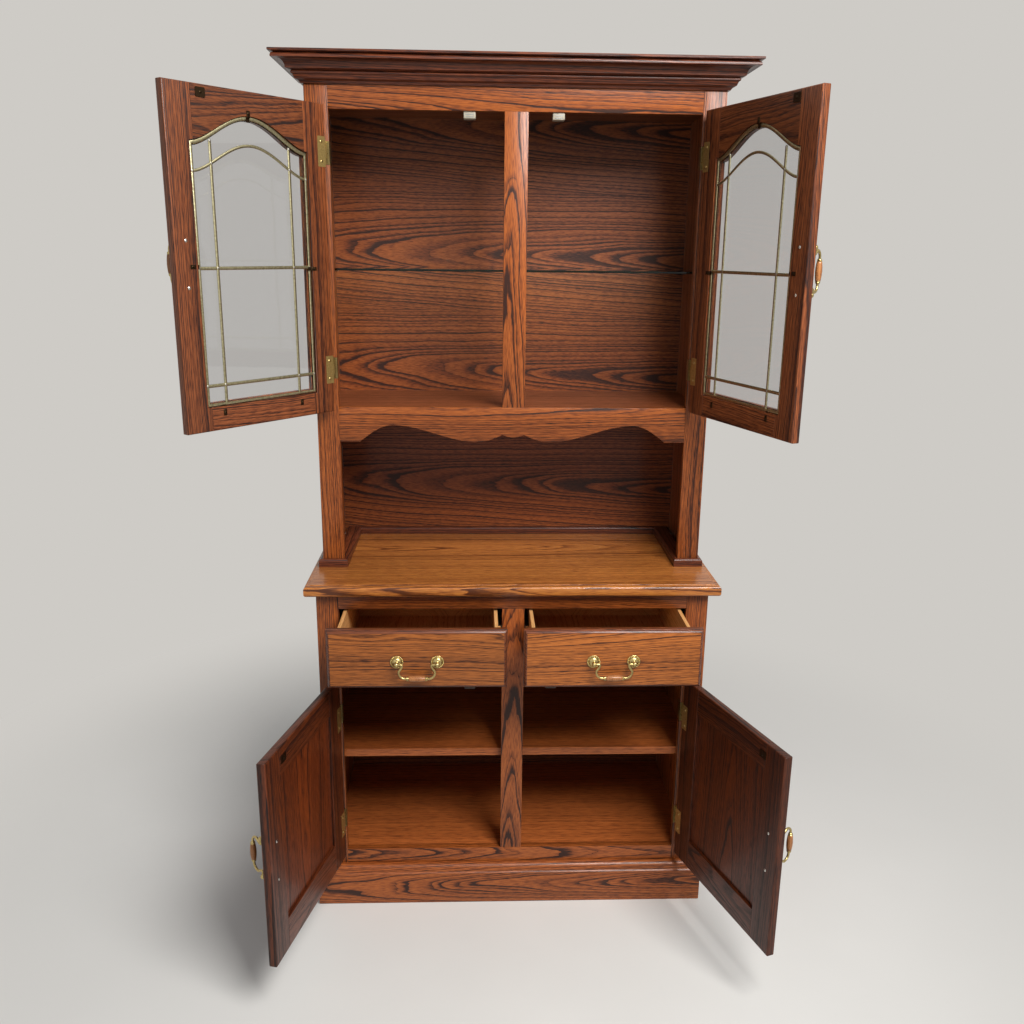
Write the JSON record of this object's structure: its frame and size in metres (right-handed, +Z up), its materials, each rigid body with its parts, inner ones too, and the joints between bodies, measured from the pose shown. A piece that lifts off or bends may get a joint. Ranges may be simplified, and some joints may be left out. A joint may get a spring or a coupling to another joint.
{
  "type": "china cabinet",
  "caption": "Two-part oak china cabinet with arched glass doors over an open niche, drawers and panelled doors below.",
  "frame": {"origin": "on the floor, under the middle of the base's foot area, where the centre bearer stands", "axes": "+X to the right seen from the front, +Y to the back, +Z up; the doors and drawers face -Y"},
  "size_m": [1.2844, 0.8171, 1.986],
  "materials": {
    "stained_oak": "satin lacquer on red-brown stained oak",
    "dark_oak": "satin lacquer on dark stained oak",
    "panel_oak": "satin lacquer on stained oak plywood",
    "maple": "clear lacquer",
    "antique_brass": "aged polish",
    "zinc_steel": "zinc plate",
    "clear_glass": "clear, polished edge"
  },
  "bodies": {
    "cabinet": {"plinth": "stained_oak", "base_floor": "stained_oak", "base_side_left": "stained_oak", "base_side_right": "stained_oak", "base_back": "panel_oak", "base_shelf": "stained_oak", "base_face_frame": "stained_oak", "tabletop": "stained_oak", "runner_left": "zinc_steel", "runner_centre": "zinc_steel", "runner_right": "zinc_steel", "hutch_side_left": "stained_oak", "hutch_side_right": "stained_oak", "hutch_back": "panel_oak", "hutch_top": "stained_oak", "hutch_floor": "stained_oak", "hutch_face_frame": "stained_oak", "crown": "dark_oak", "foot_moulding": "dark_oak", "glass_shelf": "clear_glass", "upper_hinge_left_top": "antique_brass", "upper_hinge_left_bottom": "antique_brass", "lower_hinge_left_top": "antique_brass", "lower_hinge_left_bottom": "antique_brass", "upper_hinge_right_top": "antique_brass", "upper_hinge_right_bottom": "antique_brass", "lower_hinge_right_top": "antique_brass", "lower_hinge_right_bottom": "antique_brass"},
    "upper_door_left": {"upper_door_left_frame": "stained_oak", "upper_door_left_glass": "clear_glass", "upper_door_left_came": "antique_brass", "upper_door_left_rosette_a": "antique_brass", "upper_door_left_rosette_b": "antique_brass"},
    "upper_door_left_bail": {"upper_door_left_bail": "antique_brass"},
    "lower_door_left": {"lower_door_left_frame": "stained_oak", "lower_door_left_panel": "panel_oak", "lower_door_left_rosette_a": "antique_brass", "lower_door_left_rosette_b": "antique_brass"},
    "lower_door_left_bail": {"lower_door_left_bail": "antique_brass"},
    "drawer_left": {"drawer_left_front": "stained_oak", "drawer_left_box": "maple", "drawer_left_rosette_a": "antique_brass", "drawer_left_rosette_b": "antique_brass"},
    "drawer_left_bail": {"drawer_left_bail": "antique_brass"},
    "upper_door_right": {"upper_door_right_frame": "stained_oak", "upper_door_right_glass": "clear_glass", "upper_door_right_came": "antique_brass", "upper_door_right_rosette_a": "antique_brass", "upper_door_right_rosette_b": "antique_brass"},
    "upper_door_right_bail": {"upper_door_right_bail": "antique_brass"},
    "lower_door_right": {"lower_door_right_frame": "stained_oak", "lower_door_right_panel": "panel_oak", "lower_door_right_rosette_a": "antique_brass", "lower_door_right_rosette_b": "antique_brass"},
    "lower_door_right_bail": {"lower_door_right_bail": "antique_brass"},
    "drawer_right": {"drawer_right_front": "stained_oak", "drawer_right_box": "maple", "drawer_right_rosette_a": "antique_brass", "drawer_right_rosette_b": "antique_brass"},
    "drawer_right_bail": {"drawer_right_bail": "antique_brass"}
  },
  "joints": [
    {"name": "upper_door_left_hinge", "type": "hinge", "parent": "cabinet", "child": "upper_door_left", "pos_m": [-0.4175, -0.093, 1.5555], "axis": [0, 0, 1], "range_deg": [-41.2, 128.8]},
    {"name": "upper_door_left_bail_swing", "type": "hinge", "parent": "upper_door_left", "child": "upper_door_left_bail", "pos_m": [-0.66766, -0.36663, 1.5555], "axis": [0, 0, 1], "range_deg": [-76, 104]},
    {"name": "lower_door_left_hinge", "type": "hinge", "parent": "cabinet", "child": "lower_door_left", "pos_m": [-0.4175, -0.221, 0.3735], "axis": [0, 0, 1], "range_deg": [-66.1, 103.9]},
    {"name": "lower_door_left_bail_swing", "type": "hinge", "parent": "lower_door_left", "child": "lower_door_left_bail", "pos_m": [-0.52812, -0.57015, 0.3735], "axis": [0, 0, 1], "range_deg": [-58, 122]},
    {"name": "drawer_left_slide", "type": "slide", "parent": "cabinet", "child": "drawer_left", "axis": [0, -1, 0], "range_m": [-0.133, 0.13]},
    {"name": "drawer_left_bail_swing", "type": "hinge", "parent": "drawer_left", "child": "drawer_left_bail", "pos_m": [-0.21625, -0.377, 0.716], "axis": [-1, 0, 0], "range_deg": [-8, 100]},
    {"name": "upper_door_right_hinge", "type": "hinge", "parent": "cabinet", "child": "upper_door_right", "pos_m": [0.4175, -0.093, 1.5555], "axis": [0, 0, 1], "range_deg": [-108.5, 61.5]},
    {"name": "upper_door_right_bail_swing", "type": "hinge", "parent": "upper_door_right", "child": "upper_door_right_bail", "pos_m": [0.55719, -0.43642, 1.5555], "axis": [0, 0, 1], "range_deg": [-124, 56]},
    {"name": "lower_door_right_hinge", "type": "hinge", "parent": "cabinet", "child": "lower_door_right", "pos_m": [0.4175, -0.221, 0.3735], "axis": [0, 0, 1], "range_deg": [-108.8, 61.2]},
    {"name": "lower_door_right_bail_swing", "type": "hinge", "parent": "lower_door_right", "child": "lower_door_right_bail", "pos_m": [0.55753, -0.55943, 0.3735], "axis": [0, 0, 1], "range_deg": [-110, 70]},
    {"name": "drawer_right_slide", "type": "slide", "parent": "cabinet", "child": "drawer_right", "axis": [0, -1, 0], "range_m": [-0.135, 0.13]},
    {"name": "drawer_right_bail_swing", "type": "hinge", "parent": "drawer_right", "child": "drawer_right_bail", "pos_m": [0.21625, -0.379, 0.716], "axis": [-1, 0, 0], "range_deg": [-8, 100]}
  ]
}
